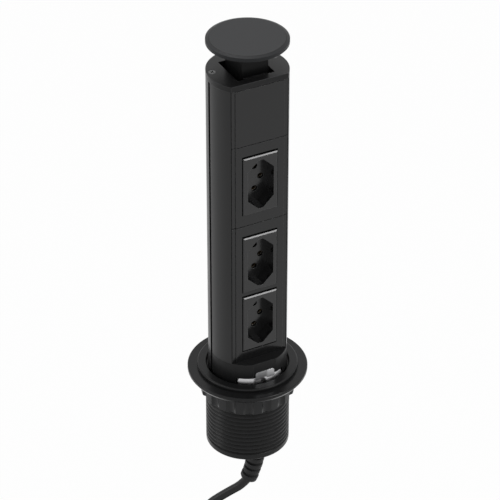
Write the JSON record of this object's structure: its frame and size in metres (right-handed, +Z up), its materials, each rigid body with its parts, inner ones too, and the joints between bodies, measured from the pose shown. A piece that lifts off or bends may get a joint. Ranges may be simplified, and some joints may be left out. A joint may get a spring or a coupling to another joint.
{
  "type": "pop up desk socket",
  "caption": "Round black tower with stacked socket inserts on its flat front, sliding through a flanged, threaded desk grommet with a scalloped nut.",
  "frame": {"origin": "on the tower's axis at the desk's top face", "axes": "+Z up along the tower, the sockets face -Y, +X to the right when looking at the sockets"},
  "size_m": [0.092, 0.092, 0.6634],
  "materials": {
    "black_paint": "satin black powder coat, fine texture",
    "cap_paint": "satin black powder coat, a shade lighter",
    "black_cast": "glass-filled black moulding, semi-matt",
    "black_plastic": "black moulding, semi-matt",
    "black_panel": "black moulding, smooth semi-matt",
    "black_insert": "dark grey moulding, semi-gloss",
    "black_acetal": "black acetal, satin",
    "ivory_plastic": "ivory moulding, matt",
    "black_rubber": "soft rubber",
    "boot_rubber": "moulded rubber, matt",
    "black_sheath": "smooth lead sheath, satin",
    "zinc_steel": "zinc plated",
    "black_screws": "black zinc plated",
    "spring_steel": "polished spring steel",
    "brass": "plain brass",
    "brass_nickel": "nickel plated brass",
    "brown_wire": "soft insulation",
    "blue_wire": "soft insulation",
    "green_wire": "soft insulation, green with yellow"
  },
  "bodies": {
    "housing": {"barrel": "black_cast", "bezel_ring": "black_paint", "bezel_screws": "zinc_steel", "glide_ring": "black_acetal", "guide_pins": "zinc_steel", "seat_gasket": "black_rubber"},
    "washer": {"clamp_washer": "zinc_steel"},
    "nut": {"nut": "black_cast"},
    "tower": {"tower_profile": "black_paint", "end_plate": "black_paint", "end_plate_screws": "black_screws", "panel_blank": "black_panel", "panel_single": "black_panel", "panel_double": "black_panel", "socket_insert_top": "black_insert", "socket_insert_middle": "black_insert", "socket_insert_bottom": "black_insert", "recess_floor_top": "black_insert", "recess_floor_middle": "black_insert", "recess_floor_bottom": "black_insert", "contact_carrier_top": "ivory_plastic", "contact_carrier_middle": "ivory_plastic", "contact_carrier_bottom": "ivory_plastic", "carrier_screws": "zinc_steel", "live_busbar": "brass", "neutral_busbar": "brass", "earth_busbar": "brass", "cap_guide": "black_plastic", "guide_screws": "zinc_steel", "cap_spring": "spring_steel", "base_block": "black_plastic", "base_screws": "zinc_steel", "friction_spring": "spring_steel", "spring_rivet": "zinc_steel", "base_cover": "black_plastic", "base_cover_screws": "zinc_steel", "terminal_block": "ivory_plastic", "terminal_screws": "zinc_steel", "live_wire": "brown_wire", "neutral_wire": "blue_wire", "earth_wire": "green_wire", "sheath_end": "black_sheath", "cord_clamp": "black_plastic", "clamp_screws": "zinc_steel", "strain_relief": "boot_rubber", "cord": "black_sheath", "cord_hank": "black_sheath", "hank_tie": "black_plastic", "plug_body": "black_plastic", "plug_pins": "brass_nickel"},
    "cap": {"cap_disc": "cap_paint", "cap_stem": "black_plastic", "stem_foot": "black_plastic", "cap_screws": "zinc_steel"}
  },
  "joints": [
    {"name": "tower_slide", "type": "slide", "parent": "housing", "child": "tower", "axis": [0, 0, 1], "range_m": [-0.2614, 0]},
    {"name": "cap_push", "type": "slide", "parent": "tower", "child": "cap", "axis": [0, 0, 1], "range_m": [-0.0211, 0], "stiffness_N_per_m": 300, "springref_m": 0.01, "deforming": ["cap_spring"]},
    {"name": "washer_slide", "type": "slide", "parent": "housing", "child": "washer", "axis": [0, 0, 1], "range_m": [-0.042, 0]},
    {"name": "nut_turn", "type": "hinge", "parent": "washer", "child": "nut", "pos_m": [0, 0, -0.011], "axis": [0, 0, 1], "range_deg": [-4090, 0]}
  ],
  "couplings": [
    {"joint": "nut_turn", "follows": "washer_slide", "rad_per_m": 1698.2}
  ]
}
